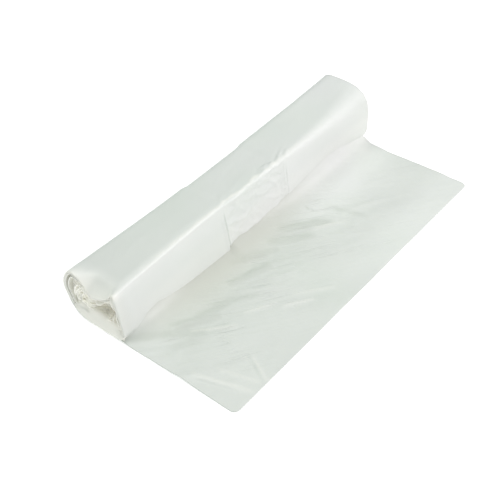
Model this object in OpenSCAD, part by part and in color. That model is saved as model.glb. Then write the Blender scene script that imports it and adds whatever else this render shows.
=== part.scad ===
// A coreless roll of thin bin bags, lying on its side with the first bag's end drawn out flat.
// The web of gusseted bags is one piece. It runs from its free edge along the table, under the
// roll, up the back, over the top and down the front, then round towards a slit in the middle.
// X runs along the roll, the loose tail points to -Y and the table is at Z = 0.
// The origin is under the middle of the roll.

/* [Roll] */
// Length of the roll, which is the width of the folded bags
roll_length = 280; // [250:5:340]
// Width of the roll at its squashed end
near_width = 53; // [48:0.5:60]
// Height of the roll at its squashed end
near_height = 37; // [34:0.5:42]
// Width of the roll at its fuller end
far_width = 50; // [46:0.5:58]
// Height of the roll at its fuller end
far_height = 47.5; // [42:0.5:56]
// How much narrower and lower the roll is halfway along than a straight one
waist = 2; // [0:0.5:5]

/* [Winding] */
// Number of whole turns
turns = 5; // [3:1:5]
// Thickness of one wound turn of film
turn_wall = 1.8; // [1.4:0.1:2]
// Width of the slit in the middle at the squashed end
near_slit = 18; // [8:1:22]
// Width of the slit in the middle at the fuller end
far_slit = 6; // [4:1:16]
// Height of the slit
slit_height = 2; // [1:0.5:4]
// How far the innermost turn sits inside the roll's ends
end_dish = 6; // [0:0.5:12]
// How unevenly the edges of the turns lie at the ends
end_ragged = 0.8; // [0:0.1:1.5]

/* [Tail] */
// Reach of the loose tail, from under the middle of the roll to its free edge
tail_reach = 115; // [90:1:160]
// Thickness of the tail's layers of film together
tail_wall = 0.6; // [0.4:0.1:1]
// Radius of the tail's two free corners
corner_radius = 4; // [1:0.5:6]
// Height of the slanting ripples in the tail
ripple_height = 1.6; // [0:0.2:3]
// Distance from one ripple to the next
ripple_pitch = 46; // [36:1:70]
// Height of the swell where the tail leaves the roll near its fuller end
swell_height = 3; // [0:0.5:3]
// Length of that swell, away from the roll
swell_run = 38; // [30:1:50]

/* [Folds] */
// Width of the side gussets, from each end of the roll inwards
gusset_width = 106; // [80:1:110]
// How much narrower and lower the roll is between the gussets, where it has half the layers
gusset_sink = 1; // [0:0.2:2]
// Length over which it gets so
gusset_slope = 8; // [3:1:12]

/* [Hidden] */

film_colour = [0.87, 0.9, 0.88];

// Corners of the outline at each end, from the back of the flat up the back and over the top to
// the front of the flat: [share of the width, share of the height, reach of the rounding as a
// share of the width]
near_corners = [[0.32, 0, 0.23], [0.53, 0.62, 0.15], [0.41, 1.03, 0.11], [-0.37, 1.06, 0.04], [-0.59, 0, 0.17]];
far_corners = [[0.36, 0, 0.24], [0.54, 0.5, 0.26], [0.43, 1.07, 0.17], [-0.5, 1.09, 0.52], [-0.55, 0, 0.3]];
corner_count = len(near_corners);
// How late along the roll the outline swells, and how late its corners grow rounder
swelling = 1.5;
softening = 3.5;
// The swell of the tail starts and ends at these shares of the roll's length
swell_span = [0.55, 1.1];
// The ripples of the tail start this far in front of the flat, clear of the roll
ripple_clear = 12;
// Turns' worth of room round the slit that the web's inner end leaves free
free_turns = 2;
// Corners that the web runs on past its last whole turn
end_corners = 2;
tail_cells = 12;

function mix(a, b, t) = a + (b - a) * t;
function clamp(t) = min(1, max(0, t));
function ease(t) = let (c = clamp(t)) c * c * (3 - 2 * c);

// Places along the roll, with a cross-section at each edge of a gusset
near_edges = [0, gusset_width, gusset_width + gusset_slope];
edges = concat(near_edges, [for (i = [2:-1:0]) roll_length - near_edges[i]]);
cells = [8, 1, 5, 1, 8];
places = concat(
    [for (s = [0:len(cells) - 1]) for (i = [0:cells[s] - 1]) mix(edges[s], edges[s + 1], i / cells[s])],
    [roll_length]
);

// The outline of the roll at distance x from its squashed end
function swollen(near, far, x) = mix(near, far, pow(x / roll_length, swelling));
function slimming(x) = waist * (1 - pow(2 * x / roll_length - 1, 2))
    + gusset_sink * ease((min(x, roll_length - x) - gusset_width) / gusset_slope);
function width(x) = swollen(near_width, far_width, x) - slimming(x);
function height(x) = swollen(near_height, far_height, x) - slimming(x);
function corner(x, c) = let (shape = swollen(near_corners[c], far_corners[c], x))
    [shape[0] * width(x), shape[1] * height(x)];
function rounding(x, c) = width(x)
    * mix(near_corners[c][2], far_corners[c][2], pow(x / roll_length, softening));
function flat_front(x) = corner(x, corner_count - 1)[0] + rounding(x, corner_count - 1);

// The point of the slit that a corner of the outline closes in on
function slit_point(x, c) = let (shape = near_corners[c], slit = swollen(near_slit, far_slit, x))
    [sign(shape[0]) * slit / 2, height(x) / 2 + (shape[1] - 0.5) * slit_height];

// The winding goes from corner to corner. It closes in between the back and the front of the
// flat, stays level along the flat, and each corner is rounded in steps.
function closed_in(n) = floor(n / corner_count) + (n % corner_count) / (corner_count - 1);
function knot(x, n) = let (c = (n + corner_count) % corner_count)
    mix(corner(x, c), slit_point(x, c), max(0, closed_in(n)) / (turns + free_turns));
function towards(a, b, reach) = a + (b - a) * min(reach / norm(b - a), 0.5);
function rounded(x, n, t) = let (
    p = knot(x, n),
    reach = rounding(x, n % corner_count) * (1 - closed_in(n) / (turns + free_turns)),
    a = towards(p, knot(x, n - 1), reach),
    b = towards(p, knot(x, n + 1), reach)
) mix(mix(a, p, t), mix(p, b, t), t);
function wound(x, w, side) = let (
    p = rounded(x, w[0], w[1]),
    inwards = slit_point(x, w[0] % corner_count) - p
) p + side * turn_wall * inwards / norm(inwards);

function steps(n) = n < corner_count ? 4 : n < 2 * corner_count ? 3 : 2;
winding = [
    for (n = [0:turns * corner_count + end_corners - 1]) for (i = [0:steps(n)]) [n, i / steps(n)]
];

// The tail goes in steps from its free edge to the front of the flat under the roll
tail_steps = concat([0, 0.3, 1], [for (i = [1:tail_cells]) 1 + i]);
function tail_y(x, step) = step < 1 ? step * corner_radius - tail_reach
    : mix(corner_radius - tail_reach, flat_front(x), (step - 1) / tail_cells);
function swell(x, out) = let (along = (x / roll_length - swell_span[0]) / (swell_span[1] - swell_span[0]))
    swell_height * pow(sin(180 * clamp(along)) * sin(180 * pow(clamp(out / swell_run), 0.75)), 2);
function wave(distance, pitch) = 0.5 + 0.5 * sin(360 * distance / pitch);
function ripple(x, out) = let (loose = (out - ripple_clear) / (tail_reach + flat_front(x) - ripple_clear))
    ripple_height * sin(160 * clamp(loose)) * wave(x - out, sqrt(2) * ripple_pitch)
    * mix(0.3, 1, wave(x + out / 3, 2.3 * ripple_pitch));
function laid(x, step, side) = let (y = tail_y(x, step), out = flat_front(x) - y)
    [y, swell(x, out) + ripple(x, out) + side * tail_wall];

// How far each point of the web's edge lies inside the roll's ends
function corner_inset(step) = corner_radius * (1 - sqrt(1 - pow(1 - clamp(step), 2)));
function end_inset(turn, i) = end_dish * pow(turn / turns, 1.5)
    + end_ragged * ease(2 * turn) * wave(i, 2.6);
insets = concat(
    [for (step = tail_steps) corner_inset(step)],
    [for (i = [0:len(winding) - 1]) end_inset(closed_in(winding[i][0]), i)]
);
path_count = len(insets);

// One closed outline of the whole web: its outer face, then its inner face back to the free edge
function face(x, side) = concat(
    [for (step = tail_steps) laid(x, step, side)],
    [for (w = winding) wound(x, w, side)]
);
function placed(x, flat, inset) = [
    mix(inset - roll_length / 2, roll_length / 2 - inset, x / roll_length), flat[0], flat[1]
];
function outline(x) = let (outer = face(x, 0), inner = face(x, 1)) concat(
    [for (i = [0:path_count - 1]) placed(x, outer[i], insets[i])],
    [for (i = [path_count - 1:-1:0]) placed(x, inner[i], insets[i])]
);

module bag_roll() {
    ring = 2 * path_count;
    last = (len(places) - 1) * ring;
    points = [for (x = places) each outline(x)];
    sides = [
        for (s = [0:len(places) - 2]) for (i = [0:ring - 1])
            let (a = s * ring + i, b = s * ring + (i + 1) % ring)
                each [[a, b + ring, b], [a, a + ring, b + ring]]
    ];
    ends = [
        for (i = [0:path_count - 2])
            let (o = i, p = i + 1, q = ring - 2 - i, r = ring - 1 - i)
                each [
                    [o, q, r], [o, p, q],
                    [last + o, last + r, last + q], [last + o, last + q, last + p]
                ]
    ];
    color(film_colour) polyhedron(points, concat(sides, ends), convexity = 20);
}

bag_roll();
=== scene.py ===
import math

import bpy
import numpy as np
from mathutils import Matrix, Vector, noise


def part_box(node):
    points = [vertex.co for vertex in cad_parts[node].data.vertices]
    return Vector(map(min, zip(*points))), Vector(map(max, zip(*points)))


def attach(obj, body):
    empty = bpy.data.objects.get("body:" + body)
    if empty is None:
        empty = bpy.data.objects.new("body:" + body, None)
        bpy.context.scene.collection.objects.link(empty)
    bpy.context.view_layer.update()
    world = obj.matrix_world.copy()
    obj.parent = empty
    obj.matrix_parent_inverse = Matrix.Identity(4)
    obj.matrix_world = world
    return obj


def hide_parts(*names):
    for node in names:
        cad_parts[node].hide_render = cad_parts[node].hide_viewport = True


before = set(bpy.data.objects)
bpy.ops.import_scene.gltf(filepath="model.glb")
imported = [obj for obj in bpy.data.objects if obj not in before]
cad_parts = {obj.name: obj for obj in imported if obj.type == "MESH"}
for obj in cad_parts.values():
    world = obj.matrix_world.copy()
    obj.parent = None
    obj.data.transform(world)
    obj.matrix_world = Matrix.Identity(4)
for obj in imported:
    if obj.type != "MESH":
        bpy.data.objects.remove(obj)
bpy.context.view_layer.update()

# A coreless roll of thin bin bags with the first bag's end drawn out flat. X runs along the roll from
# its squashed end, the loose tail points to -Y, and everything is in metres.

lowest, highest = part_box("bag_roll")
dice = np.random.default_rng(14)

# the roll as it was wound; a corner is its share of the width and of the height, and its rounding is a
# share of the width
roll = {
    "length": highest.x - lowest.x,
    "tailReach": -lowest.y,
    "nearSize": (0.053, 0.037),  # width and height at the squashed end
    "farSize": (0.05, 0.0475),  # and at the fuller end
    "nearCorners": ((0.32, 0, 0.23), (0.53, 0.62, 0.15), (0.41, 1.03, 0.11), (-0.37, 1.06, 0.04),
                    (-0.59, 0, 0.17)),
    "farCorners": ((0.36, 0, 0.24), (0.54, 0.5, 0.26), (0.43, 1.07, 0.17), (-0.5, 1.09, 0.52),
                   (-0.55, 0, 0.3)),
    "swelling": 1.5,  # how late along the roll it swells
    "softening": 3.5,  # how late along the roll its corners grow rounder
    "ridgeSoftening": 5.5,  # and how late the ridge does
    "waist": 0.002,
    "gusset": 0.106,  # width of the side gussets
    "gussetSink": 0.001,
    "gussetSlope": 0.008,
    "slit": (0.018, 0.006),  # width of the slit in the middle at each end
    "slitHeight": 0.002,
    "footReach": (0.085, 0.3),  # rounding at the front's foot past the near end, as a share of the width
    "footOver": 0.022,  # and over what length it gets so
    # along the roll, how far back and how far up the ridge lies from its corner
    "ridge": ((0, -0.0022, 0.0004), (0.015, -0.0006, 0.0004), (0.05, 0.0006, 0.0015),
              (0.08, 0.0011, 0.0028), (0.14, 0.0013, 0.0032), (0.17, 0.0009, 0.0022),
              (0.21, 0.0008, 0.0016), (0.25, 0.0004, 0.0006), (0.28, -0.0006, -0.0004)),
    "room": 7,  # turns that would close the slit
    "corners": 27,  # corners from the flat to the inner end of the web
}
cornerCount = len(roll["nearCorners"])
ridgeCorner, footCorner = 3, 4  # at the top and at the foot of the front


def mix(a, b, t):
    return a + (b - a) * t


def ease(t):
    t = np.clip(t, 0, 1)
    return t * t * (3 - 2 * t)


def ramp(value, start, length):  # rises from its start, or up to it if the length is negative
    return ease((value - start) / length)


def area(x, across, ramps):  # a ramp along the roll times one across it
    return ramp(x, *ramps[0]) * ramp(across, *ramps[1])


def faded(distance, over):  # from 1 at no distance down to 0
    return np.clip(1 - np.maximum(distance, 0) / over, 0, 1)


def bell(t):
    return np.exp(-t ** 2)


def tableAt(place, rows):  # a table's other columns at places that its first column holds
    columns = np.array(rows, float).T
    return [np.interp(place, columns[0], column) for column in columns[1:]]


def fromEnds(x):
    return np.minimum(x, roll["length"] - x)


# outline


def outlineAt(x):
    along = (x / roll["length"]) ** roll["swelling"]
    slim = roll["waist"] * (1 - (2 * x / roll["length"] - 1) ** 2)
    slim = slim + roll["gussetSink"] * ramp(fromEnds(x), roll["gusset"], roll["gussetSlope"])
    width, height = [mix(a, b, along) - slim for a, b in zip(roll["nearSize"], roll["farSize"])]
    slit = mix(*roll["slit"], along) / 2
    softer = (x / roll["length"]) ** roll["softening"]
    ridgeSofter = (x / roll["length"]) ** roll["ridgeSoftening"]
    corners, middles, reaches = [], [], []
    for n, (near, far) in enumerate(zip(roll["nearCorners"], roll["farCorners"])):
        across, up = [mix(a, b, along) for a, b in zip(near[:2], far[:2])]
        corners.append(np.stack([across * width, up * height], -1))
        middles.append(np.stack([np.sign(near[0]) * slit,
                                 height / 2 + (near[1] - 0.5) * roll["slitHeight"]], -1))
        reaches.append(width * mix(near[2], far[2], ridgeSofter if n == ridgeCorner else softer))
    corners[ridgeCorner] += np.stack(tableAt(x, roll["ridge"]), -1)
    footReach = width * mix(*roll["footReach"], softer)
    reaches[footCorner] = mix(reaches[footCorner], footReach, ramp(x, 0, roll["footOver"]))
    return corners, middles, reaches


def towards(a, b, reach):
    return a + (b - a) * np.minimum(reach / np.linalg.norm(b - a, axis=-1), 0.5)[:, None]


def bend(outline, n):  # a corner of the winding, with where its rounding starts and ends
    corners, middles, reaches = outline

    def knot(k):
        closing = max(0, k // cornerCount + k % cornerCount / (cornerCount - 1))
        return mix(corners[k % cornerCount], middles[k % cornerCount], closing / roll["room"]), closing

    p, closing = knot(n)
    reach = reaches[n % cornerCount] * (1 - closing / roll["room"])
    return towards(p, knot(n - 1)[0], reach), p, towards(p, knot(n + 1)[0], reach)


def windingAt(outline, w):  # w counts corners, with the rounding in its first half
    n, t = math.floor(w), w % 1
    a, p, b = bend(outline, n)
    if t < 0.5:
        return mix(mix(a, p, 2 * t), mix(p, b, 2 * t), 2 * t)
    return mix(b, bend(outline, n + 1)[0], 2 * t - 1)


def lengthAlong(section):  # along the film, from its first row
    run = np.linalg.norm(np.diff(section, axis=0), axis=-1)
    return np.concatenate([np.zeros((1, section.shape[1])), np.cumsum(run, axis=0)])


def evenRows(start, stop, spacing):  # values of w that lie about a spacing apart along the web
    probe = outlineAt(np.array([0.25, 0.5, 0.75]) * roll["length"])
    fineStep = 0.02
    fine = np.arange(start, stop + fineStep / 2, fineStep)
    points = np.array([windingAt(probe, min(w, stop)) for w in fine])
    run = np.linalg.norm(np.diff(points, axis=0), axis=-1).mean(1)
    length = np.concatenate([[0], np.cumsum(run)])
    count = max(2, round(length[-1] / spacing))
    return np.interp(np.linspace(0, length[-1], count + 1), length, fine)


# film meshes

filmUnits = 10  # of the film's own map to a metre


def makeFilm(name, points, thickness, u, v, marks):  # marks are values that the material reads
    rows, columns = points.shape[:2]
    index = np.arange(rows * columns).reshape(rows, columns)
    faces = np.stack([index[:-1, :-1], index[1:, :-1], index[1:, 1:], index[:-1, 1:]], -1).reshape(-1, 4)
    mesh = bpy.data.meshes.new(name)
    mesh.from_pydata(points.reshape(-1, 3).tolist(), [], faces.tolist())
    corner = np.empty(len(mesh.loops), dtype=np.int32)
    mesh.loops.foreach_get("vertex_index", corner)
    uv = mesh.uv_layers.new(name="film")
    uv.data.foreach_set("uv", np.stack([u.ravel(), v.ravel()], -1)[corner].ravel() * filmUnits)
    for mark, values in marks.items():
        layer = mesh.attributes.new(mark, "FLOAT", "POINT")
        layer.data.foreach_set("value", np.broadcast_to(values, (rows, columns)).ravel())
    mesh.shade_smooth()
    piece = bpy.data.objects.new(name, mesh)
    bpy.context.collection.objects.link(piece)
    bpy.context.view_layer.objects.active = piece
    wall = piece.modifiers.new("wall", "SOLIDIFY")
    wall.thickness = thickness
    wall.use_quality_normals = True
    bpy.ops.object.modifier_apply(modifier="wall")
    return piece


def outwards(points):  # the side of the film away from the middle, in the roll's section
    run = np.gradient(points, axis=0)[..., 1:]
    side = np.stack([run[..., 1], -run[..., 0]], -1)
    return side / np.maximum(np.linalg.norm(side, axis=-1, keepdims=True), 1e-9)


def crease(x, s, start, end, height, width):  # a soft ridge with a shallow groove beside it
    grooveDepth, grooveAt, grooveWidth = 0.45, 2, 1.6  # shares of the ridge's height and width
    step = np.subtract(end, start)
    long = np.hypot(*step)
    ux, us = step / long
    along = ((x - start[0]) * ux + (s - start[1]) * us) / long
    across = ((x - start[0]) * us - (s - start[1]) * ux) / width
    fade = np.sqrt(np.clip(4 * along * (1 - along), 0, 1))
    return height * fade * (bell(across) - grooveDepth * bell((across - grooveAt) / grooveWidth))


def waves(x, s, size, seed):  # smooth unevenness of about one unit, with bumps of a size
    flat = np.stack([x.ravel() / size, s.ravel() / size], -1)
    values = [noise.noise((a, b, seed)) for a, b in flat]
    return np.array(values).reshape(x.shape)


# the squashed end, where the top film sags and the lower turns curl up over it

mouth = {
    "depth": 0.0125,  # how far from the end the top film starts to bend
    "bend": 2.4,
    "dip": 0.026,  # how far from it a slight dip starts
    "dipShare": 0.1,
    "columns": 14,
    "closer": 1.25,  # how much closer they lie towards the end
    "lipDepth": 0.0045,
    "curlDepth": 0.002,
    # across the end, how far the top film sags
    "sag": ((-0.0225, 0.0), (-0.019, 0.0004), (-0.0168, 0.0012), (-0.015, 0.0038), (-0.013, 0.0072),
            (-0.0085, 0.0104), (-0.004, 0.0134), (0.0005, 0.0148), (0.003, 0.0126), (0.005, 0.0082),
            (0.009, 0.0036), (0.0135, 0.0012), (0.017, 0.0002)),
    "sagOver": 0.026,  # height over which the turns below the sag are squeezed
    "crease": ((-0.0185, 0.0), (-0.0165, 0.0018), (-0.0148, 0.001), (-0.0125, 0.0)),  # in the sag
    # place, width and height of the ridge and the groove of a fold in the sag
    "folds": ((-0.0122, 0.0009, 0.0007), (-0.0142, 0.0011, -0.0012)),
    "foldDepth": 0.011,
    # across the end, how far the lower turns rise
    "rise": ((-0.026, 0.0002), (-0.0235, 0.003), (-0.02, 0.006), (-0.016, 0.0048),
             (-0.012, 0.0022), (-0.001, 0.0022), (0.003, 0.0055), (0.007, 0.0092),
             (0.011, 0.0092), (0.0145, 0.0045), (0.018, 0.0002)),
    "riseOver": 0.021,
}


def bentShare(x, depth):  # level at a depth, and ever steeper to the end
    return faded(x, depth) ** mouth["bend"]


def squeeze(x, points, top, inner):
    y, z = points[..., 1], points[..., 2]
    dip = mouth["dipShare"] * faded(x, mouth["dip"]) ** 2
    share = dip + (1 - dip) * bentShare(x, mouth["depth"])
    below = faded(top - z, mouth["sagOver"])
    z = z - tableAt(y, mouth["sag"])[0] * share * below
    fold = sum(high * bell((y - place) / wide) for place, wide, high in mouth["folds"])
    z = z + fold * bentShare(x, mouth["foldDepth"]) * below
    points = points.copy()
    points[..., 0] += tableAt(y, mouth["crease"])[0] * share * below
    if inner:
        rise = tableAt(y, mouth["rise"])[0] * bentShare(x, mouth["lipDepth"])
        z = z + rise * faded(z, mouth["riseOver"])
    points[..., 2] = z
    return points


# outer web: the tail and the outer turn

# the loose tail, with the swell and the slanting ripples that it lies in
tail = {
    "cornerRadius": 0.004,
    "cornerRows": (0, 0.04, 0.15, 0.35, 0.65),  # shares of that radius
    "spacing": 0.0013,
    "closer": 1.15,  # how much closer the rows lie towards the roll
    "rippleHeight": 0.0016,
    "ripplePitch": 0.046,
    "rippleClear": 0.012,
    "rippleSpan": 160,  # degrees of the half wave in which the ripples grow and fade
    "rippleLeast": 0.3,
    "rippleWider": 2.3,  # pitch of their unevenness, in their own pitches
    "swellHeight": 0.003,
    "swellRun": 0.038,
    "swellSpan": (0.55, 1.1),
    "swellEarly": 0.75,
}

# the film's climb from the table onto the foot of the front
foot = {
    # along the roll, its rise, its run, its curve and the share that rises at the end
    "climb": ((0, 0.0008, 0.004, 1.5, 0), (0.006, 0.0036, 0.013, 1.5, 0.1),
              (0.014, 0.0062, 0.022, 1.6, 0.2), (0.022, 0.0077, 0.026, 1.7, 0.25),
              (0.033, 0.0084, 0.028, 1.8, 0.25), (0.048, 0.0076, 0.028, 1.8, 0.15),
              (0.063, 0.0064, 0.026, 1.7, 0), (0.09, 0.0058, 0.023, 1.6, 0),
              (0.1035, 0.0056, 0.021, 1.6, 0), (0.1095, 0.0082, 0.021, 1.7, 0),
              (0.118, 0.008, 0.022, 1.7, 0), (0.13, 0.0074, 0.023, 1.7, 0),
              (0.145, 0.0076, 0.025, 1.7, 0.1), (0.16, 0.0085, 0.028, 1.7, 0.25),
              (0.175, 0.01, 0.032, 1.8, 0.4), (0.2, 0.0125, 0.038, 2.0, 0.5),
              (0.24, 0.0142, 0.04, 2.1, 0.5), (0.262, 0.0112, 0.032, 2.1, 0.45),
              (0.274, 0.006, 0.016, 2.0, 0.25), (0.28, 0.0032, 0.01, 2.0, 0)),
    "hookCurve": 10,
    "runOn": 1.15,  # how far it climbs on inside the front
    "samples": (40, 400),  # of front and climb, to find where they meet
    "bite": 0.0035,  # how far it goes on inside the roll's front
    "biteLeast": 0.1,  # share of that at the roll's ends
    "biteOver": 0.01,
    "biteRows": 3,
    "ripples": (0.004, 0.02),  # where the tail's ripples start and grow
    "tuck": 0.002,  # least length over which it comes down again, inside the roll
    "tuckRows": (0.25, 0.5, 0.75, 1),
}

# creases strewn over the film: how many, where they start along roll and film, their turn and its
# spread in degrees, and their least and most length, height and width; some go both ways, as ridges
# or grooves
overTail = {"along": (-0.03, roll["length"]), "film": (0.01, 0.095, 0.115), "turn": (-33, 10),
            "bothWays": True}
strewn = {
    "longTail": {**overTail, "count": 46, "long": (0.03, 0.06), "high": (0.0005, 0.0014),
                 "wide": (0.0022, 0.0045)},
    "shortTail": {**overTail, "count": 100, "long": (0.015, 0.045), "high": (0.0002, 0.0008),
                  "wide": (0.0009, 0.0018)},
    "front": {"count": 60, "along": (0.1, 0.17), "film": (0.0, 0.034), "turn": (8, 24), "bothWays": True,
              "long": (0.012, 0.032), "high": (0.00015, 0.0005), "wide": (0.0008, 0.0017)},
    "ridge": {"count": 34, "along": (0.103, 0.176), "film": (-0.005, 0.004), "turn": (0, 18),
              "long": (0.004, 0.012), "high": (-0.0002, 0.0006), "wide": (0.0005, 0.001)},
    "top": {"count": 30, "along": (0.0, roll["length"]), "film": (-0.045, 0.0), "turn": (0, 25),
            "long": (0.015, 0.05), "high": (-0.0001, 0.0001), "wide": (0.001, 0.003)},
    "back": {"count": 26, "along": (0.0, roll["length"]), "film": (-0.095, -0.05), "turn": (-12, 22),
             "long": (0.015, 0.05), "high": (0.0002, 0.0005), "wide": (0.0012, 0.003), "bothWays": True},
}

# how the tail is creased; a ramp is written as its start and its length
creased = {
    "least": 0.25,  # share of the creases towards the far end and the free edge
    "farEnd": (0.23, -0.07),
    "freeEdge": (0.009, 0.045),
    "nearShare": 0.45,
    "nearEnd": (0, 0.05),
    "footClear": 0.004,  # they start this far from the foot of the roll
    "footGrowth": (0.014, 0.03),  # and grow over this length, near and far along the roll
    "footGrowthAt": (0.1, 0.08),
    "cutEdge": (-0.0014, 0.004),
    "uneven": ((0.0005, 0.03, 3.1, 0), (0.00022, 0.009, 7.7, 0.4)),  # height, size, seed and slant
}

# the gussets' fold lines and the crumpled stretch between them
folds = {
    "depths": (0.0011, 0.00035),  # of the two lines on the front
    "width": 0.00075,
    "swollen": (0.3, 0.0018, 0.0012),  # share, place and width of the swelling beside a line
    "below": (0.004, 0.008),  # where the lines start below the ridge, and over what length they deepen
    "sink": 0.0004,  # of the stretch between them
    "sinkBelow": (0.001, 0.008),
    "edge": 0.003,  # length over which it sinks and crumples
    "backDepth": 0.0005,
    "backWidth": 0.0009,
    "behind": (-0.046, -0.006),  # where the lines on the back start behind the ridge
    "plain": 0.25,  # share of the front's creases that goes on outside the stretch
}

# the painted highlight along the ridge, on a fold that it also raises a little
paintedHighlight = {
    # along the roll, its strength and its width
    "form": ((0, 0.12, 0.003), (0.03, 0.26, 0.0024), (0.06, 0.4, 0.0019), (0.1, 0.5, 0.0013),
             (0.17, 0.38, 0.0013), (0.2, 0.12, 0.002), (0.28, 0.03, 0.0036)),
    "height": 0.0005,
    "above": 0.0012,
    "ragged": 0.0014,
    "raggedSize": (0.006, 9.4),  # and its seed
    "raggedShare": (0.5, 1.4),  # outside and inside the crumpled stretch
    "patchy": (0.8, 0.7),  # its even share, and the share that is ragged
}

web = {
    "thickness": 0.0005,
    "spacing": 0.0014,
    "foldSpacing": 0.0004,  # beside the gussets' folds
    "foldReach": 0.003,
    # from and to which corner, and spacing
    "turnRows": ((0, 2, 0.0024), (2, 4.5, 0.0011), (4.5, 5.4, 0.003)),
    "flatRows": 5,
    "edgeUneven": (0.0004, 0.02, 2.2),  # height, size and seed
    "curl": ((0.6, 0.0003), (1.6, 0.0004), (2.4, 0.0004), (3.2, 0.0007), (4.3, 0.0009), (4.7, 0.0)),
    "curlFrom": (0.4, 0.5),  # the corner where it starts, and over how many it grows
    "ridge": 3.25,  # the ridge, in corners
    "upper": (2.1, 3.6),  # the top film
    "fadeIn": (0.6, 0.6),  # of the outer turn's creases, in corners
    "fadeOut": (4.9, -0.4),
    # height, size, seed and how much closer the bumps lie along and across the roll
    "uneven": (0.0004, 0.035, 11.3, 1, 1.5),
    "finelyUneven": (0.0002, 0.012, 5.9, 0.6, 2),
    "fineShare": 0.4,  # of that outside the crumpled stretch
}

# tones of the film, as shares from 0 to 1 of the material's colours; many are painted shade and painted
# light
tones = {
    "mouthWarm": ((0.5, mouth["depth"]), (0.9, 0.003)),  # at the squashed end, and how far in
    "frontWarm": (0.3, (0.001, 0.004)),  # share of that on the front, and its ramp below the ridge
    "sagWarm": (0.2, 0.016),
    "sagAll": 0.008,  # a sag that has its whole tone
    # painted light on the sagging top film near the end
    "sagPale": (0.34, 0.004, 0.0045),
    "leastStreaked": 0.08,
    "footStreaked": (0.15, 0.014),
    "frontStreaked": (0.15, (-0.006, 0.004)),
    # along the roll, the painted shadow of the roll on the tail beside it and how far that reaches
    "beside": ((0, 0.0, 0.01), (0.006, 0.05, 0.014), (0.02, 0.35, 0.022), (0.06, 0.75, 0.026),
               (0.1, 0.8, 0.024), (0.14, 0.65, 0.024), (0.17, 0.4, 0.02), (0.2, 0.1, 0.02),
               (0.28, 0.0, 0.02)),
    "besideFrom": 1.15,
    # the tail's deeper tone all over: its darker single film, and partly painted shade
    "tail": 0.42,
    "paleShare": 0.75,  # how much of the tail's tone is gone where it is pale
    "paleFoot": ((0.15, 0.05), (0.0494, -0.038)),  # ramps along the roll and out from the foot: painted light on the lit climb at the far end
    "paleEdge": ((0.11, 0.08), (0.034, -0.022)),  # and from the free edge
    "band": (0.3, 0.026, 0.016),  # a band of painted shadow along the tail, with its distance from the foot and its width
    "bandEnds": ((0, 0.03), (0.19, -0.05)),
    "patchy": (0.75, 0.5),  # its even share, and the share that is patchy
    "patchySize": (0.008, 14.1),  # and its seed
    # along the roll, the painted shade on its top and on its front
    "top": ((0, 0.0), (0.006, 0.25), (0.015, 0.5), (0.03, 0.44), (0.05, 0.32), (0.12, 0.2), (0.2, 0.08),
            (0.28, 0.05)),
    "front": ((0, 0.28), (0.025, 0.1), (0.06, 0.0), (0.18, 0.0), (0.22, 0.28), (0.28, 0.5)),
    "fromRidge": (0.002, 0.005),
    "topBack": (-0.05, 0.02),
    "frontEdge": (0.14, ((0.012, -0.008), (0.001, 0.003))),  # a painted shade at the near edge of the front
    "paleFront": (0.12, ((0, 0.03), (0.014, 0.01))),  # painted light: how much paler the lower front is
    "paleStart": (0.06, ((0.01, 0.02), (0.0144, -0.012))),  # and the painted light on the tail right beside it
}


def nearColumns():
    return mouth["depth"] * np.linspace(0, 1, mouth["columns"] + 1)[:-1] ** mouth["closer"]


def webColumns():
    length = roll["length"]
    edges = [mouth["depth"]]
    for fold in (roll["gusset"], length - roll["gusset"]):
        edges += [fold - web["foldReach"], fold + web["foldReach"]]
    edges += [length]
    steps = [web["spacing"], web["foldSpacing"]] * 3
    counts = [round((b - a) / step) for a, b, step in zip(edges, edges[1:], steps)]
    parts = [np.linspace(a, b, n + 1)[:-1] for a, b, n in zip(edges, edges[1:], counts)]
    return np.concatenate([nearColumns()] + parts + [[length]])


def tailHeight(x, out, loose):  # the swell and ripples, at a distance out from the flat
    low, high = tail["swellSpan"]
    pitch = tail["ripplePitch"]
    along = np.clip((x / roll["length"] - low) / (high - low), 0, 1)
    outShare = np.clip(out / tail["swellRun"], 0, 1) ** tail["swellEarly"]
    swell = np.sin(np.pi * along) * np.sin(np.pi * outShare)

    def wave(distance, pitch):
        return 0.5 + 0.5 * np.sin(2 * np.pi * distance / pitch)

    share = np.clip((out - tail["rippleClear"]) / (loose - tail["rippleClear"]), 0, 1)
    ripple = np.sin(math.radians(tail["rippleSpan"]) * share) * wave(x - out, math.sqrt(2) * pitch)
    ripple = ripple * mix(tail["rippleLeast"], 1, wave(x + out / 3, tail["rippleWider"] * pitch))
    return tail["swellHeight"] * swell ** 2 + tail["rippleHeight"] * ripple


def footMeeting(outline, x, flatFront):  # where the climbing film meets the front of the roll
    rise, run, curve, hook = tableAt(x, foot["climb"])
    start, p, end = bend(outline, footCorner)
    above = bend(outline, ridgeCorner)[2]
    frontSamples, climbSamples = foot["samples"]
    t = np.linspace(0, 1, frontSamples)[:, None, None]
    front = np.concatenate([above[None], mix(mix(start, p, t), mix(p, end, t), t)])[::-1]
    footEnd = start[:, 0]

    def climb(y):
        near = np.clip(1 + (y - footEnd) / run, 0, foot["runOn"])
        return rise * ((1 - hook) * near ** curve + hook * near ** foot["hookCurve"])

    y = np.linspace(footEnd - run, flatFront, climbSamples)
    z = climb(y)
    meetY = y[-1].copy()
    for j in range(len(x)):
        frontY = np.interp(z[:, j], front[:, j, 1], front[:, j, 0])
        inside = (z[:, j] > front[0, j, 1]) & (y[:, j] > frontY)
        if inside.any():
            meetY[j] = y[np.argmax(inside), j]
    return meetY, climb


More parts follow.
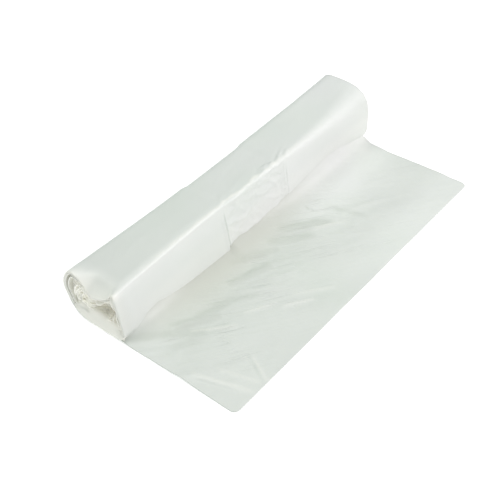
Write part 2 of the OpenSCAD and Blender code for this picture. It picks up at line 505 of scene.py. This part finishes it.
def webSection(x, outline):  # rows from the free edge to the end of the outer turn
    flatFront = outline[0][footCorner][:, 0] + outline[2][footCorner]
    radius = tail["cornerRadius"]
    meetY, climb = footMeeting(outline, x, flatFront)
    steps = np.linspace(0, 1, round((roll["tailReach"] + meetY.mean() - radius) / tail["spacing"]) + 1)
    steps = 1 - (1 - steps) ** tail["closer"]
    y = [np.full_like(x, share * radius - roll["tailReach"]) for share in tail["cornerRows"]]
    y += [mix(radius - roll["tailReach"], meetY, t) for t in steps]
    bite = foot["bite"] * mix(foot["biteLeast"], 1, ramp(fromEnds(x), 0, foot["biteOver"]))
    y += [meetY + bite * (n + 1) / foot["biteRows"] for n in range(foot["biteRows"])]
    y = np.array(y)
    out = flatFront - y
    height = tailHeight(x, out, roll["tailReach"] + flatFront)
    height = np.sqrt(height ** 2 * ramp(out, *foot["ripples"]) + climb(y) ** 2)
    tuckTo = np.maximum(flatFront, y[-1] + foot["tuck"])
    tuck = [np.stack([mix(y[-1], tuckTo, t), height[-1] * (1 - t) ** 2], -1) for t in foot["tuckRows"]]
    flat = [mix(tuck[-1], windingAt(outline, 0), t) for t in np.linspace(0, 1, web["flatRows"] + 2)[1:-1]]
    parts = [evenRows(*part) for part in web["turnRows"]]
    turned = np.concatenate([part[:-1] for part in parts[:-1]] + parts[-1:])
    turn = [windingAt(outline, w) for w in turned]
    section = np.concatenate([np.stack([y, height], -1), tuck, flat, turn])
    wound = np.concatenate([np.zeros(len(section) - len(turned)), np.maximum(turned, 1e-6)])
    return section, wound, len(y), meetY


# start, end, height, width and tone of the tail's largest creases; a tone below 0 paints shade along the
# crease, above 0 a highlight
placedCreases = [
    ((0.146, 0.08), (0.182, 0.053), 0.0018, 0.0042, -1.0),
    ((0.13, 0.077), (0.161, 0.056), 0.0016, 0.0036, -0.9),
    ((0.096, 0.083), (0.132, 0.067), 0.0012, 0.003, -0.8),
    ((0.08, 0.072), (0.115, 0.06), 0.0014, 0.0032, -1.0),
    ((0.058, 0.069), (0.087, 0.05), 0.0012, 0.0024, -0.6),
    ((0.026, 0.076), (0.056, 0.056), 0.0016, 0.0032, -1.0),
    ((0.032, 0.064), (0.056, 0.043), 0.001, 0.0012, 0.3),
    ((0.066, 0.048), (0.088, 0.036), 0.0008, 0.0012, 0.25),
    ((0.086, 0.032), (0.106, 0.019), 0.001, 0.0012, 0.3),
    ((0.1, 0.034), (0.124, 0.015), 0.001, 0.0014, 0.25),
    ((0.162, 0.062), (0.19, 0.046), 0.0008, 0.0016, 0.2),
    ((0.042, 0.023), (0.029, -0.002), 0.0008, 0.0012, 0.2),
    ((0.005, 0.04), (0.019, 0.002), 0.001, 0.0016, 0.25),
    ((0.018, 0.032), (0.027, 0.003), 0.0008, 0.0012, 0.2),
    ((0.1775, 0.0795), (0.18, 0.072), 0.0013, 0.0007, -1.0),
    ((0.19, 0.071), (0.199, 0.035), 0.0009, 0.003, -0.5),
    ((0.014, 0.062), (0.04, 0.052), 0.0008, 0.004, -0.35),
    ((-0.003, 0.0942), (0.04, 0.0553), 0.0004, 0.0034, -0.95),
    ((0.018, 0.071), (0.08, 0.06), 0.0006, 0.004, -0.75),
]


def drawn(limits):  # between two limits, or between three and most often near the second
    return dice.uniform(*limits) if len(limits) == 2 else dice.triangular(*limits)


def strewCreases(x, s, kind):
    lifted = np.zeros_like(s)
    for _ in range(kind["count"]):
        start = np.array([drawn(kind["along"]), drawn(kind["film"])])
        turn = math.radians(dice.normal(*kind["turn"]))
        end = start + drawn(kind["long"]) * np.array([math.cos(turn), math.sin(turn)])
        high = drawn(kind["high"])
        if "bothWays" in kind:
            high = high * dice.choice([1, -1])
        lifted += crease(x, s, start, end, high, drawn(kind["wide"]))
    return lifted


def tailRelief(xs, s, fromFoot):  # how far creases lift the tail, and their painted shade, painted highlights and how streaky they are
    lift, shadeStreaks, lightStreaks = np.zeros((3, *s.shape))
    for start, end, high, wide, tone in placedCreases:
        lifted = crease(xs, s, start, end, high, wide)
        lift += lifted
        # each placed crease paints shade along itself, or a highlight, by its tone
        band = tone * np.clip(lifted / high, 0, 1)
        shadeStreaks = np.maximum(shadeStreaks, -band)
        lightStreaks = np.maximum(lightStreaks, band)
    streaky = mix(creased["least"], 1, ramp(xs, *creased["farEnd"]) * ramp(s, *creased["freeEdge"]))
    streaky = streaky * mix(creased["nearShare"], 1, ramp(xs, *creased["nearEnd"]))
    for kind in ("longTail", "shortTail"):
        lift += strewCreases(xs, s, strewn[kind]) * streaky
    for high, size, seed, slant in creased["uneven"]:
        lift += high * waves(xs, s - xs * slant, size, seed)
    growth = mix(*creased["footGrowth"], ramp(xs, *creased["footGrowthAt"]))
    grown = ramp(fromFoot, creased["footClear"], growth) * ramp(s, *creased["cutEdge"])
    return lift * grown, shadeStreaks, lightStreaks, streaky


def rollRelief(xs, r, between):  # how far creases and folds lift the outer turn, and the painted highlight along its ridge
    face = -folds["sink"] * between * ramp(r, *folds["sinkBelow"])
    lower = ramp(r, *folds["below"])
    share, beside, wide = folds["swollen"]
    nearFold, farFold = roll["gusset"], roll["length"] - roll["gusset"]
    for edge, deep in zip((xs - nearFold, farFold - xs), folds["depths"]):
        face -= deep * bell(edge / folds["width"]) * lower
        face += share * deep * bell((edge + beside) / wide) * lower
    face += strewCreases(xs, r, strewn["front"]) * mix(folds["plain"], 1, between)
    for kind in ("ridge", "top", "back"):
        face += strewCreases(xs, r, strewn[kind])
    behind = folds["backDepth"] * ramp(r, *folds["behind"])
    for fold in (nearFold, farFold):
        face -= behind * bell((xs - fold) / folds["backWidth"])
    # the painted highlight along the ridge, ragged and patchy, which also raises the fold a little
    ragged = waves(xs, r, *paintedHighlight["raggedSize"]) * mix(*paintedHighlight["raggedShare"], between)
    strength, wide = tableAt(xs, paintedHighlight["form"])
    patchy = np.clip(paintedHighlight["patchy"][0] + paintedHighlight["patchy"][1] * ragged, 0, 2)
    paintedLight = strength * bell((r + paintedHighlight["above"] + paintedHighlight["ragged"] * ragged) / wide) * patchy
    face += paintedHighlight["height"] * paintedLight
    shares = (1, mix(web["fineShare"], 1, between))
    for (high, size, seed, along, across), share in zip((web["uneven"], web["finelyUneven"]), shares):
        face += high * waves(xs * along, r * across, size, seed) * share
    return face, paintedLight


def tailMarks(x, xs, s, fromFoot, shadeStreaks, lightStreaks, streaky):
    least, over = tones["footStreaked"]
    streaked = streaky * mix(least, 1, ramp(fromFoot, creased["footClear"], over))
    # painted shadow of the roll on the tail beside it
    shade, shadeRun = tableAt(x, tones["beside"])
    paintedShade = shade * ease(tones["besideFrom"] - fromFoot / shadeRun)
    # painted shade: the dark streaks, made patchy, and a band of painted shadow along the tail
    even, uneven = tones["patchy"]
    shadeStreaks = shadeStreaks * (even + uneven * waves(xs, s, *tones["patchySize"]))
    share, place, wide = tones["band"]
    shadeStreaks = shadeStreaks + share * area(x, x, tones["bandEnds"]) * bell((fromFoot - place) / wide)
    # less of the tail's tone and painted shade at the far foot, where the climb is lit, and near the free
    # edge
    pale = 1 - tones["paleShare"] * area(x, fromFoot, tones["paleFoot"])
    pale = pale * (1 - tones["paleShare"] * area(x, s, tones["paleEdge"]))
    # painted light: the crease highlights, and a paler start of the tail beside the foot
    share, ramps = tones["paleStart"]
    paintedLight = lightStreaks + share * area(x, fromFoot, ramps)
    return {"creased": streaked, "paintedShade": paintedShade, "deep": np.clip(tones["tail"] * pale + shadeStreaks, 0, 1),
            "paintedHighlight": paintedLight}


def rollMarks(xs, r, between, sagging, paintedLight, onRoll):
    # the ivory tint, which also carries a painted glow
    (share, depth), (edgeShare, edgeDepth) = tones["mouthWarm"]
    ivoryAndGlow = np.maximum(share * bentShare(xs, depth), edgeShare * bentShare(xs, edgeDepth))
    share, below = tones["frontWarm"]
    ivoryAndGlow = ivoryAndGlow * mix(1, share, ramp(r, *below))
    share, depth = tones["sagWarm"]
    ivoryAndGlow = np.maximum(ivoryAndGlow, share * sagging * faded(xs, depth))
    share, below = tones["frontStreaked"]
    streaked = share * between * ramp(r, *below)
    # painted shade on the roll's top and front towards its ends
    deep = tableAt(xs, tones["front"])[0] * ramp(r, *tones["fromRidge"])
    deep += tableAt(xs, tones["top"])[0] * ramp(-r, *tones["fromRidge"]) * ramp(r, *tones["topBack"])
    # painted shade at the near edge of the front
    share, ramps = tones["frontEdge"]
    paintedShade = share * area(xs, r, ramps)
    # painted light on the sag and on the lower front, added to the ridge's painted highlight
    share, place, wide = tones["sagPale"]
    paintedLight = paintedLight * onRoll + share * sagging * bell((xs - place) / wide)
    share, ramps = tones["paleFront"]
    paintedLight = paintedLight + share * area(xs, r, ramps) * onRoll
    return {"ivoryAndGlow": ivoryAndGlow, "creased": streaked, "paintedShade": paintedShade, "deep": deep, "paintedHighlight": paintedLight}


def makeWeb():
    x = webColumns()
    outline = outlineAt(x)
    section, wound, tailCount, meetY = webSection(x, outline)
    s = lengthAlong(section)
    xs = np.broadcast_to(x, s.shape)
    r = s - s[np.argmin(abs(wound - web["ridge"]))]  # from the ridge, down the front
    fromFoot = np.maximum(meetY - section[:tailCount, :, 0], 0)
    between = ramp(fromEnds(xs), roll["gusset"], folds["edge"])
    onRoll = (ramp(wound, *web["fadeIn"]) * ramp(wound, *web["fadeOut"]))[:, None]

    tailLift, shadeStreaks, lightStreaks, streaky = tailRelief(xs[:tailCount], s[:tailCount], fromFoot)
    face, paintedLight = rollRelief(xs, r, between)
    lift = face * onRoll
    lift[:tailCount] = -tailLift
    points = np.concatenate([xs[..., None], section], -1)
    side = outwards(points)
    points[..., 1:] += side * lift[..., None]

    # the near edge curls in, and the top film sags into the mouth
    curl = tableAt(wound, web["curl"])[0] * ramp(wound, *web["curlFrom"])
    points[..., 1:] -= side * (curl[:, None] * bentShare(xs, mouth["curlDepth"]))[..., None]
    points[..., 2] = np.maximum(points[..., 2], 0)

    # the film's edges at the roll's ends, and the tail's rounded corners
    high, size, seed = web["edgeUneven"]
    inset = high * (0.5 + 0.5 * waves(s[:, :1], np.zeros((len(s), 1)), size, seed))
    radius = tail["cornerRadius"]
    inset = inset + radius - np.sqrt(radius ** 2 - np.maximum(0, radius - s[:, :1]) ** 2)
    half = roll["length"] / 2
    points[..., 0] = (xs / half - 1) * (half - inset)
    upper = (wound > web["upper"][0]) & (wound < web["upper"][1])
    points[upper] = squeeze(xs[upper], points[upper], outline[0][ridgeCorner][:, 1], False)

    sagging = ramp(tableAt(section[..., 0], mouth["sag"])[0], 0, tones["sagAll"]) * upper[:, None]
    marks = rollMarks(xs, r, between, sagging, paintedLight, onRoll)
    onTurn = (wound > 0.5)[:, None]
    marks = {mark: values * onTurn for mark, values in marks.items()}
    ofTail = tailMarks(x, xs[:tailCount], s[:tailCount], fromFoot, shadeStreaks, lightStreaks, streaky)
    for mark, values in ofTail.items():
        marks[mark][:tailCount] = values
    marks["creased"] = np.maximum(marks["creased"], tones["leastStreaked"])
    piece = makeFilm("film_web", points, web["thickness"], xs, s, marks)
    return piece


# wound turns inside the outer one, whose edges show at both ends

turns = {
    "start": -0.6,  # at the front of the flat
    "stop": 0.6,  # corners before the inner end of the web
    "depths": (0.0005, 0.0013, 0.0022),  # of the leaves in each turn
    "walls": (0.0008, 0.0009, 0.0013),
    # by turn, how far in from the end each leaf stops
    "standing": ((0.0, 0.0002, 0.0003, 0.0005), (0.15, 0.0002, 0.0003, 0.0036),
                 (1.0, 0.0002, 0.0004, 0.0036), (1.15, 0.0036, 0.0008, 0.004),
                 (2.0, 0.0036, 0.0008, 0.004), (2.2, 0.004, 0.004, 0.0042),
                 (3.0, 0.004, 0.004, 0.004), (3.2, 0.003, 0.0008, 0.003),
                 (3.7, 0.0012, 0.0016, 0.002), (5.4, 0.0016, 0.0022, 0.0028)),
    "leastInset": 0.0001,
    "pocket": (-0.0078, 0.019, -21),  # middle of the hollow in the near end, and its turn in degrees
    "pocketSize": (0.0105, 0.0064),
    "pocketDepth": 0.012,
    "filled": (-0.018, 0.032, 0.009),  # middle and size of where the leaves reach the end
    "filledShare": 0.95,
    "sunk": 0.0014,  # how much deeper they lie away from the ends
    "sunkTurns": (2, -1),
    "sunkFrom": (0.01, 0.0005),  # where they start to, and where under the top film
    "sunkOver": (0.01, 0.004),
    "underTop": ((2.3, 0.3), (3.5, -0.2)),  # in corners
    "curlTurns": (1.6, -1),
    "spacing": 0.0014,
    "nearPlaces": (0.0125, 0.0145, 0.018, 0.022, 0.029, 0.038, 0.05),  # of the columns, from each end
    "farPlaces": (0.05, 0.034, 0.022, 0.015, 0.01, 0.007, 0.0045, 0.0025, 0.001, 0),
    "middleColumns": 5,
    "farDish": 0.003,
    # height, size and first seed of their unevenness, along the roll and then in its section
    "ragged": (0.0004, 0.011, 40),
    "coreRagged": (0.0032, 0.006, 50),
    "stray": (0.0003, 0.014, 20),
    "coreStray": (0.0019, 0.0045, 31),
    "strayLeast": 0.4,
    "core": (1.7, 1.2),  # turns at which the crumpled core starts, and over which it grows
    "endReach": 0.02,
    "leastHeight": 0.0008,
    "ivoryAndGlow": (0.5, 0.1),  # of the first turn, and how much more at each turn
    "facets": (-0.002, 0.006),  # where the core's facets get a painted highlight
}


def turnColumns():
    near = np.concatenate([nearColumns(), turns["nearPlaces"]])
    far = roll["length"] - np.array(turns["farPlaces"])
    middle = np.linspace(near[-1], far[0], turns["middleColumns"] + 2)[1:-1]
    return np.concatenate([near, middle, far])


def pocketShare(section):  # how much of the hollow lies at each point of the near end
    y, z, turn = turns["pocket"]
    turn = math.radians(turn)
    dy, dz = section[..., 0] - y, section[..., 1] - z
    along = (dy * math.cos(turn) + dz * math.sin(turn)) / turns["pocketSize"][0]
    across = (dz * math.cos(turn) - dy * math.sin(turn)) / turns["pocketSize"][1]
    return bell(along ** 2 + across ** 2)


def leafDepth(leaf, w, xs, s, core, nearEnd):  # how far inside its place in the winding a leaf lies
    high, size, seed = turns["stray"]
    stray = high * waves(s, xs, size, seed + leaf) * (turns["strayLeast"] + nearEnd)
    high, size, seed = turns["coreStray"]
    stray += high * core * nearEnd * waves(s, xs, size, seed + leaf)
    corner = (w % cornerCount)[:, None]
    underTop = area(corner, corner, turns["underTop"])
    sunk = ramp(fromEnds(xs), mix(*turns["sunkFrom"], underTop), mix(*turns["sunkOver"], underTop))
    sunk = turns["sunk"] * sunk * ramp((w / cornerCount)[:, None], *turns["sunkTurns"])
    return turns["depths"][leaf] + sunk + stray


def leafInset(leaf, closing, xs, s, section, core):  # how far in from the roll's ends a leaf stops
    atNear = xs < roll["length"] / 2
    start = np.zeros_like(s)
    farInset = turns["farDish"] * closing / cornerCount
    inset = np.where(atNear, tableAt(closing, turns["standing"])[leaf], farInset)
    for (high, size, seed), share in ((turns["ragged"], ease(closing)), (turns["coreRagged"], core)):
        inset = inset + high * share * waves(s, start, size, seed + leaf)
    y, z, size = turns["filled"]
    filled = turns["filledShare"] * bell(np.hypot(section[..., 0] - y, section[..., 1] - z) / size)
    hollow = turns["pocketDepth"] * pocketShare(section)
    inset = np.where(atNear, inset * (1 - filled) + hollow, inset)
    return np.maximum(inset, turns["leastInset"] * (1 + leaf))


def makeTurns():
    x = turnColumns()
    outline = outlineAt(x)
    half = roll["length"] / 2
    w = evenRows(turns["start"], roll["corners"] - turns["stop"], turns["spacing"])
    wound = np.array([windingAt(outline, v) for v in w])
    inwards = np.array([outline[1][math.floor(v) % cornerCount] for v in w]) - wound
    inwards /= np.linalg.norm(inwards, axis=-1, keepdims=True)
    s = lengthAlong(wound)
    xs = np.broadcast_to(x, s.shape)
    closing = (w / cornerCount)[:, None]
    core = ramp(closing, *turns["core"])
    nearEnd = bell(fromEnds(xs) / turns["endReach"])
    firstWarmth, turnWarmth = turns["ivoryAndGlow"]
    made = []
    for leaf, wall in enumerate(turns["walls"]):
        section = wound + inwards * leafDepth(leaf, w, xs, s, core, nearEnd)[..., None]
        placed = (xs / half - 1) * (half - leafInset(leaf, closing, xs, s, section, core))
        curl = tableAt(w % cornerCount, web["curl"])[0][:, None] * ramp(closing, *turns["curlTurns"])
        section = section + inwards * (curl * bentShare(xs, mouth["curlDepth"]))[..., None]
        points = np.concatenate([placed[..., None], section], -1)
        points = squeeze(placed + half, points, outline[0][ridgeCorner][:, 1], True)
        points[..., 2] = np.maximum(points[..., 2], turns["leastHeight"])
        # ivory tint with a painted glow on each turn, and a painted highlight on the core's facets
        marks = {"ivoryAndGlow": np.clip(firstWarmth + turnWarmth * closing, 0, 1) * np.ones_like(xs),
                 "paintedHighlight": core * nearEnd * ramp(section[..., 0], *turns["facets"])}
        piece = makeFilm(f"wound_turns_{leaf + 1}", points, wall, xs, s, marks)
        made.append(piece)
    return made


# the lower lip, film that is folded out over the foot of the squashed end

lip = {
    "flat": (0.047, 0.024),
    # along it, its place across the end, its foot and its top
    "edge": ((0.0175, 0.0075, 0.01), (0.015, 0.0046, 0.0112), (0.012, 0.0022, 0.0128),
             (0.006, 0.0004, 0.0133), (-0.001, 0.0002, 0.0124), (-0.008, 0.0002, 0.0121),
             (-0.015, 0.0002, 0.0126), (-0.02, 0.0006, 0.0112), (-0.0235, 0.0019, 0.0088),
             (-0.0255, 0.0042, 0.006)),
    # up its section, how far inside the roll's end it lies and its share of the height
    "bulge": ((0.006, 0.1), (0.003, 0.02), (0.0006, 0.0), (-0.0007, 0.05), (-0.0008, 0.28),
              (-0.0004, 0.52), (0.0004, 0.78), (0.0016, 0.94), (0.0031, 1.0), (0.005, 0.97),
              (0.0075, 0.88)),
    "rows": 46,
    "columns": 25,
    "wall": 0.0005,
    # height, size and seed of its unevenness, inwards and upwards, and its ramp up the section
    "unevenIn": (0.0008, 0.009, 61, (0.3, 0.3)),
    "unevenUp": (0.0004, 0.006, 63, (0.5, 0.4)),
    "inwards": 0.6,
    "ivoryAndGlow": (0.6, 0.2),  # and how much more towards its top
    "warmTop": (0.6, 0.4),
    # painted shade over the whole lip
    "paintedShade": 0.12,
}


def spread(rows, places):  # the columns of a table whose rows are evenly spread from 0 to 1
    return [np.interp(places, np.linspace(0, 1, len(rows)), column) for column in np.array(rows).T]


def makeLip():
    along = np.linspace(0, 1, lip["rows"])
    across = np.linspace(0, 1, lip["columns"])
    y, low, top = spread(lip["edge"], along)
    inset, share = spread(lip["bulge"], across)
    for _ in range(2):  # rounds the section's corners
        for line in (inset, share):
            line[1:-1] = (line[:-2] + 2 * line[1:-1] + line[2:]) / 4
    y = np.repeat(y[:, None], len(across), 1)
    x = np.repeat(inset[None], len(along), 0)
    z = low[:, None] + (top - low)[:, None] * share
    high, size, seed, grows = lip["unevenIn"]
    x = x + high * (lip["inwards"] + waves(y, z, size, seed)) * ramp(share, *grows)
    high, size, seed, grows = lip["unevenUp"]
    z = z + high * waves(y, x, size, seed) * ramp(share, *grows)
    points = np.stack([x - roll["length"] / 2, y, z], -1)
    u, v = np.meshgrid(along * lip["flat"][0], across * lip["flat"][1], indexing="ij")
    # ivory tint carrying a painted glow, more towards its top
    ivoryAndGlow, warmer = lip["ivoryAndGlow"]
    ivoryAndGlow = ivoryAndGlow + warmer * ramp(share, *lip["warmTop"]) * np.ones_like(x)
    # the lip gets painted shade all over
    piece = makeFilm("lower_lip", points, lip["wall"], u, v, {"ivoryAndGlow": ivoryAndGlow, "paintedShade": lip["paintedShade"]})
    return piece


# crumpled film in the middle

crumple = {
    "size": (0.271, 0.015, 0.012),
    "centre": (0.0, 0.0068, 0.0208),
    "sides": 48,
    "cuts": 5,
    "grain": 0.0045,
    "depth": 0.003,
}


def makeCrumple():
    bpy.ops.mesh.primitive_cylinder_add(vertices=crumple["sides"], radius=0.5, depth=1,
                                        end_fill_type="TRIFAN", rotation=(0, math.pi / 2, 0))
    piece = bpy.context.object
    piece.name = piece.data.name = "crumpled_middle"
    piece.scale = (crumple["size"][2], crumple["size"][1], crumple["size"][0])
    piece.location = crumple["centre"]
    bpy.ops.object.transform_apply(location=True, rotation=True, scale=True)
    bpy.ops.object.mode_set(mode="EDIT")
    bpy.ops.mesh.select_all(action="SELECT")
    bpy.ops.mesh.subdivide(number_cuts=crumple["cuts"])
    bpy.ops.object.mode_set(mode="OBJECT")
    texture = bpy.data.textures.new("crumples", "VORONOI")
    texture.noise_scale = crumple["grain"]
    push = piece.modifiers.new("crumples", "DISPLACE")
    push.texture = texture
    push.strength = crumple["depth"]
    bpy.ops.object.modifier_apply(modifier="crumples")
    # ivory tint, which also carries the painted glow, all over the crumpled middle
    tint = piece.data.attributes.new("ivoryAndGlow", "FLOAT", "POINT")
    tint.data.foreach_set("value", [1.0] * len(piece.data.vertices))
    return piece


# materials


class Wire:  # a socket, so that sums of sockets are written as sums
    def __init__(self, shader, socket):
        self.shader, self.socket = shader, socket

    def __add__(self, other):
        return self.shader.calculate("ADD", self, other)

    def __sub__(self, other):
        return self.shader.calculate("SUBTRACT", self, other)

    def __rsub__(self, other):
        return self.shader.calculate("SUBTRACT", other, self)

    def __mul__(self, other):
        return self.shader.calculate("MULTIPLY", self, other)


class Shader:
    def __init__(self, name):
        self.material = bpy.data.materials.new(name)
        self.material.use_nodes = True
        self.nodes = self.material.node_tree.nodes
        self.links = self.material.node_tree.links
        self.nodes.clear()

    def add(self, kind, settings, sockets, output=0):
        node = self.nodes.new(kind)
        for key, value in settings.items():
            setattr(node, key, value)
        for key, value in sockets.items():
            if isinstance(value, Wire):
                self.links.new(value.socket, node.inputs[key])
            else:
                node.inputs[key].default_value = value
        return Wire(self, node.outputs[output]) if node.outputs else node

    def blend(self, factor, a, b):
        return self.add("ShaderNodeMix", {"data_type": "RGBA"}, {"Factor": factor, 6: a, 7: b}, 2)

    def mark(self, name):
        return self.add("ShaderNodeAttribute", {"attribute_name": name}, {}, "Fac")

    def calculate(self, operation, a, b=0.0):
        return self.add("ShaderNodeMath", {"operation": operation}, {0: a, 1: b})

    def cloud(self, place, scale, detail, distortion=0.0):
        return self.add("ShaderNodeTexNoise", {}, {
            "Vector": place, "Scale": scale, "Detail": detail, "Distortion": distortion})


film = {
    "cool": (0.655, 0.71, 0.66, 1),
    "pale": (0.73, 0.755, 0.725, 1),
    "warm": (0.84, 0.825, 0.75, 1),
    "grey": (0.7, 0.72, 0.705, 1),
    "deep": (0.535, 0.572, 0.528, 1),  # painted shade: in the tail's creases and band and on the roll's top and front ends; also the tail's own deeper tone
    "shadeOlive": (0.532, 0.553, 0.49, 1),  # painted shade: the roll's shadow on the tail, and shade on the lip and the front's near edge
    "paintedHighlight": (0.93, 0.925, 0.86, 1),  # painted highlight: along the ridge, on crease crests, on the core's facets, the sag and the lower front
    "toneScale": 22.0,
    "greyScale": 15.0,
    "greyPatches": (2.4, 0.8),  # contrast, and how much of it is left out
    "roughness": 0.44,
    "roughSpread": 0.16,
    "softness": 0.06,
    "softReach": (0.003, 0.003, 0.0025),
    "glow": 0.09,  # a painted glow, standing in for light that comes through the film inside the roll
    "streakTurn": -33,
    "streakSize": (0.42, 0.034, 1.0),
    "streakShare": 0.9,
    "crestShare": 0.4,
    "crestSharp": 6.0,
    "patchScale": 26.0,
    "patches": (4.0, 1.7),
    "grainScale": 700.0,
    "grainShare": 0.05,
    "bump": 0.8,
    "bumpHeight": 0.001,
}


def makeFilmMaterial():
    shader = Shader("bag film")
    place = shader.add("ShaderNodeTexCoord", {}, {}, "Object")
    sheet = shader.add("ShaderNodeUVMap", {"uv_map": "film"}, {})
    ivoryAndGlow, paintedLight = shader.mark("ivoryAndGlow"), shader.mark("paintedHighlight")
    tone = shader.cloud(place, film["toneScale"], 3.0)
    contrast, left = film["greyPatches"]
    patch = shader.cloud(place, film["greyScale"], 1.0) * contrast - left
    outer = shader.blend(tone, film["cool"], film["pale"])
    outer = shader.blend(patch, outer, film["grey"])
    # painted shade in green and in olive, then painted highlights, from the marks
    outer = shader.blend(shader.mark("deep"), outer, film["deep"])
    outer = shader.blend(shader.mark("paintedShade"), outer, film["shadeOlive"])
    outer = shader.blend(paintedLight, outer, film["paintedHighlight"])
    colour = shader.blend(ivoryAndGlow, outer, shader.blend(paintedLight, film["warm"], film["paintedHighlight"]))

    # slanting streaks with sharper crests in patches, and a fine grain all over
    slant = shader.add("ShaderNodeMapping", {"vector_type": "TEXTURE"}, {
        "Vector": sheet, "Scale": film["streakSize"],
        "Rotation": (0, 0, math.radians(film["streakTurn"]))})
    streak = shader.cloud(slant, 1.0, 3.0, 0.5)
    fromCrest = shader.calculate("ABSOLUTE", streak * 2.0 - 1.0)
    crest = shader.calculate("MAXIMUM", 1.0 - fromCrest * film["crestSharp"])
    contrast, left = film["patches"]
    patch = shader.calculate("MAXIMUM", shader.cloud(place, film["patchScale"], 1.0) * contrast - left)
    fine = shader.cloud(place, film["grainScale"], 2.0) * film["grainShare"]
    height = crest * patch * film["crestShare"] + streak * film["streakShare"]
    bump = shader.add("ShaderNodeBump", {}, {
        "Strength": film["bump"], "Distance": film["bumpHeight"],
        "Height": shader.mark("creased") * height + fine})
    surface = shader.add("ShaderNodeBsdfPrincipled", {}, {
        "Base Color": colour, "Normal": bump, "IOR": 1.5,
        "Roughness": tone * film["roughSpread"] + (film["roughness"] - film["roughSpread"] / 2),
        # a painted glow in the ivory tint, on the film at the squashed end and on the inner turns
        "Emission Color": shader.blend(ivoryAndGlow, (0, 0, 0, 1), film["warm"]),
        "Emission Strength": film["glow"], "Subsurface Weight": film["softness"],
        "Subsurface Radius": film["softReach"], "Subsurface Scale": 1.0,
    })
    shader.add("ShaderNodeOutputMaterial", {}, {"Surface": surface})
    return shader.material


# the setting

setting = {
    "aim": (-0.0215, -0.0319, 0.0),
    "azimuth": -51.62,
    "elevation": 41.346,
    "distance": 0.6262,
    "lens": 64.45,
    "floor": 0.85,
    "floorGlow": 0.42,
    "floorSize": 8,
    "floorDrop": 0.0002,
    # where each light stands, its size, its power and its colour
    "lights": {"front": ((0.5, -1.18, 0.68), (0.9, 0.6), 12.6, (1.0, 0.924, 0.965)),
               "top left": ((-0.4, 0.7, 2.5), (1.6, 1.6), 34.0, (0.985, 1.0, 0.98))},
    "lightAim": (0, -0.02, 0.01),
    "sky": (0.95, 1.0, 0.97, 1),
    "skyStrength": 0.44,
}


def makeFloor():
    bpy.ops.mesh.primitive_plane_add(size=setting["floorSize"], location=(0, 0, -setting["floorDrop"]))
    floor = bpy.context.object
    floor.name = "floor"
    shader = Shader("floor")
    surface = shader.add("ShaderNodeBsdfPrincipled", {}, {
        "Base Color": (setting["floor"],) * 3 + (1,), "Roughness": 0.8, "Specular IOR Level": 0.1,
        "Emission Color": (1, 1, 1, 1), "Emission Strength": setting["floorGlow"],
    })
    shader.add("ShaderNodeOutputMaterial", {}, {"Surface": surface})
    floor.data.materials.append(shader.material)


def makeLight(name, place, size, power, colour):
    light = bpy.data.lights.new(name, "AREA")
    light.shape = "RECTANGLE"
    light.size, light.size_y = size
    light.energy = power
    light.color = colour
    lamp = bpy.data.objects.new(name, light)
    lamp.location = place
    towardsAim = Vector(setting["lightAim"]) - Vector(place)
    lamp.rotation_euler = towardsAim.to_track_quat("-Z", "Y").to_euler()
    bpy.context.collection.objects.link(lamp)


def makeSetting():
    azimuth, elevation = math.radians(setting["azimuth"]), math.radians(setting["elevation"])
    back = Vector((math.sin(azimuth) * math.cos(elevation), -math.cos(azimuth) * math.cos(elevation),
                   math.sin(elevation)))
    camera = bpy.data.objects.new("camera", bpy.data.cameras.new("camera"))
    camera.data.lens = setting["lens"]
    camera.location = Vector(setting["aim"]) + setting["distance"] * back
    camera.rotation_euler = (-back).to_track_quat("-Z", "Y").to_euler()
    bpy.context.collection.objects.link(camera)
    bpy.context.scene.camera = camera
    makeFloor()
    for name, light in setting["lights"].items():
        makeLight(name, *light)
    world = bpy.data.worlds.new("studio")
    bpy.context.scene.world = world
    world.use_nodes = True
    sky = world.node_tree.nodes["Background"]
    sky.inputs["Color"].default_value = setting["sky"]
    sky.inputs["Strength"].default_value = setting["skyStrength"]
    bpy.context.scene.view_settings.view_transform = "Standard"
    print("setting made")


makeSetting()
filmMaterial = makeFilmMaterial()
print("material made")
webPiece = makeWeb()
print("web made")
turnPieces = makeTurns()
print("turns made")
lipPiece = makeLip()
print("lip made")
middlePiece = makeCrumple()
print("middle made")
for piece in [webPiece, *turnPieces, lipPiece, middlePiece]:
    piece.data.materials.clear()
    piece.data.materials.append(filmMaterial)
    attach(piece, "root")
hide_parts("bag_roll")
